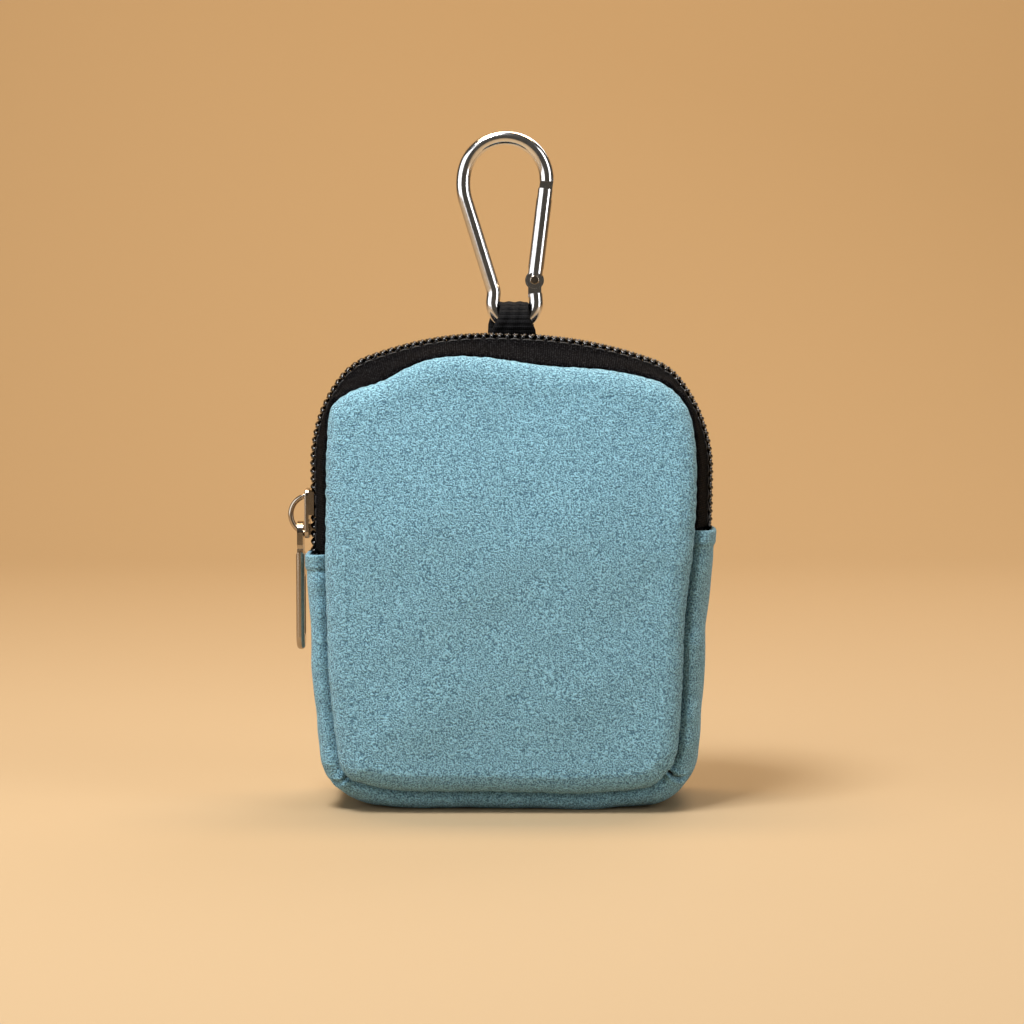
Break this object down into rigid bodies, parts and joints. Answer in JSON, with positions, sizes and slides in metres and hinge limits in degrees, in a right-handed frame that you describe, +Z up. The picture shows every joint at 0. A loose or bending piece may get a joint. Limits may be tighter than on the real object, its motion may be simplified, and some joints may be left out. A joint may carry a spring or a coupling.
{
  "type": "treat pouch",
  "caption": "Small zipped dog treat pouch with padded cloth panels, a side zip with slider and pull, a webbing loop and a snap carabiner.",
  "frame": {"origin": "middle of the flat base, on the surface it stands on, under the zip coil", "axes": "+X to the right of the front panel, +Y from the front panel to the back panel, +Z up through the carabiner"},
  "size_m": [0.1029, 0.0429, 0.1626],
  "materials": {
    "teal_cloth": "woven",
    "foam": "matte",
    "lining_cloth": "woven",
    "black_cloth": "ribbed",
    "zip_tape": "woven",
    "coil_nylon": "satin",
    "nickel": "polished",
    "polished_rod": "polished",
    "webbing": "ribbed",
    "spring_steel": "satin"
  },
  "bodies": {
    "pouch": {"back_panel": "teal_cloth", "back_foam": "foam", "back_lining": "lining_cloth", "front_panel_lower": "teal_cloth", "front_foam_lower": "foam", "front_lining_lower": "lining_cloth", "lower_gusset": "teal_cloth", "gusset_lining": "lining_cloth", "zip_binding_back": "black_cloth", "zip_tape_back": "zip_tape", "zip_coil_back": "coil_nylon", "zip_binding_foot": "black_cloth", "zip_tape_foot": "zip_tape", "zip_coil_foot": "coil_nylon", "seam_binding_back": "black_cloth", "seam_binding_front_lower": "black_cloth", "webbing_tail": "webbing"},
    "flap": {"front_panel_upper": "teal_cloth", "front_foam_upper": "foam", "front_lining_upper": "lining_cloth", "zip_binding_front": "black_cloth", "zip_tape_front": "zip_tape", "zip_coil_front": "coil_nylon", "seam_binding_front_upper": "black_cloth"},
    "slider": {"slider_body": "nickel", "slider_bail": "nickel"},
    "puller": {"pull_tab": "nickel"},
    "loop": {"webbing_loop": "webbing"},
    "carabiner": {"carabiner_frame": "polished_rod", "gate_rivet": "nickel"},
    "gate": {"gate": "polished_rod", "gate_plunger": "spring_steel", "gate_spring": "spring_steel"}
  },
  "joints": [
    {"name": "flap_open", "type": "hinge", "parent": "pouch", "child": "flap", "pos_m": [0, -0.0225, 0.067], "axis": [1, 0, 0], "range_deg": [0, 45]},
    {"name": "zip_slide", "type": "slide", "parent": "pouch", "child": "slider", "axis": [0, 0, 1], "range_m": [0, 0.008]},
    {"name": "pull_swing", "type": "hinge", "parent": "slider", "child": "puller", "pos_m": [-0.0489, 0, 0.0695], "axis": [0, 1, 0], "range_deg": [0, 90]},
    {"name": "loop_bend", "type": "hinge", "parent": "pouch", "child": "loop", "pos_m": [0.0006, 0.008, 0.11075], "axis": [1, 0, 0], "range_deg": [-35, 12], "stiffness_Nm_per_rad": 0.004},
    {"name": "carabiner_tilt", "type": "hinge", "parent": "loop", "child": "carabiner", "pos_m": [0.0006, 0.008, 0.11565], "axis": [1, 0, 0], "range_deg": [-28, 28]},
    {"name": "gate_swing", "type": "hinge", "parent": "carabiner", "child": "gate", "pos_m": [0.0055, 0.008, 0.1263], "axis": [0, -1, 0], "range_deg": [0, 32], "stiffness_Nm_per_rad": 0.03, "springref_deg": -57.3}
  ]
}
